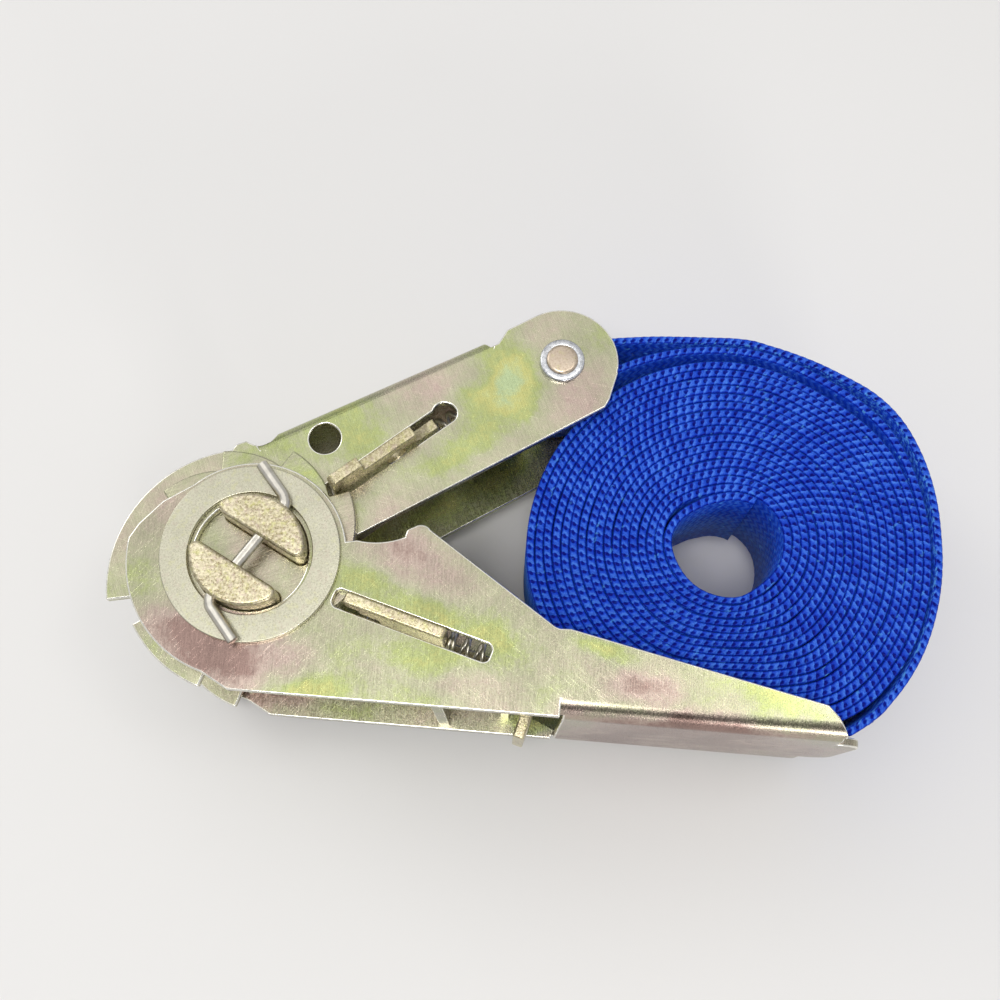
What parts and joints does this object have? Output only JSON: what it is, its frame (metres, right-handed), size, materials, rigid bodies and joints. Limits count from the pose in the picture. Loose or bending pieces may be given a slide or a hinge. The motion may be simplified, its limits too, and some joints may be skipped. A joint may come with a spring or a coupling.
{
  "type": "ratchet strap",
  "caption": "Endless ratchet tie-down lying on its side, with its flat webbing sewn round the frame's pin and wound in a coil between the closed handle and the frame.",
  "frame": {"origin": "on the spindle's axis, midway between the two frame plates, in the middle of the slot that the webbing passes through", "axes": "+Z along the spindle's axis, which is upright because the part lies on its side; +X along the closed handle, from the spindle towards the handle's tip and the coil; +Y towards the frame arm's side"},
  "size_m": [0.1386, 0.0743, 0.0468],
  "materials": {
    "plates": "yellow zinc plated sheet with a faint iridescence and a brushed grain",
    "pawls": "yellow zinc plated pressing",
    "shafts": "satin, slightly grainy cut steel",
    "wheels": "yellow zinc plated, with bright cut edges",
    "washers": "satin zinc plated",
    "bright_steel": "bright drawn wire",
    "webbing": "woven polyester, royal blue"
  },
  "bodies": {
    "frame": {"frame": "plates", "strap_pin": "washers", "pin_washer_top": "bright_steel", "pin_washer_bottom": "bright_steel", "lock_spring_top": "bright_steel", "lock_spring_bottom": "bright_steel"},
    "lock_pawl": {"lock_pawl": "pawls"},
    "handle": {"handle": "plates", "handle_cross_bar": "plates", "drive_spring_seat": "pawls", "drive_spring_top": "bright_steel", "drive_spring_bottom": "bright_steel"},
    "drive_pawl": {"drive_pawl": "pawls"},
    "spindle": {"spindle_half_upper": "shafts", "spindle_half_lower": "shafts", "ratchet_wheel_top": "wheels", "ratchet_wheel_bottom": "wheels", "hub_washer_top": "washers", "hub_washer_bottom": "washers", "split_pin_top": "bright_steel", "split_pin_bottom": "bright_steel"},
    "strap": {"strap": "webbing"}
  },
  "joints": [
    {"name": "handle_swing", "type": "hinge", "parent": "frame", "child": "handle", "pos_m": [0, 0, 0], "axis": [0, 0, 1], "range_deg": [-135, 0]},
    {"name": "lock_pawl_slide", "type": "slide", "parent": "frame", "child": "lock_pawl", "axis": [0.8039, 0.5948, 0], "range_m": [0, 0.0038], "stiffness_N_per_m": 250, "deforming": ["lock_spring_top", "lock_spring_bottom"]},
    {"name": "drive_pawl_slide", "type": "slide", "parent": "handle", "child": "drive_pawl", "axis": [0.9367, -0.3502, 0], "range_m": [-0.0012, 0.0036], "stiffness_N_per_m": 250, "deforming": ["drive_spring_top", "drive_spring_bottom"]},
    {"name": "spindle_turn", "type": "hinge", "parent": "frame", "child": "spindle", "pos_m": [0, 0, 0], "axis": [0, 0, 1], "range_deg": [-864, 0]},
    {"name": "strap_swing", "type": "hinge", "parent": "frame", "child": "strap", "pos_m": [0.0504, 0.0348, 0], "axis": [0, 0, 1], "range_deg": [0, 85]}
  ],
  "couplings": [
    {"joint": "lock_pawl_slide", "follows": "handle_swing", "m_per_rad": -0.0015703}
  ]
}
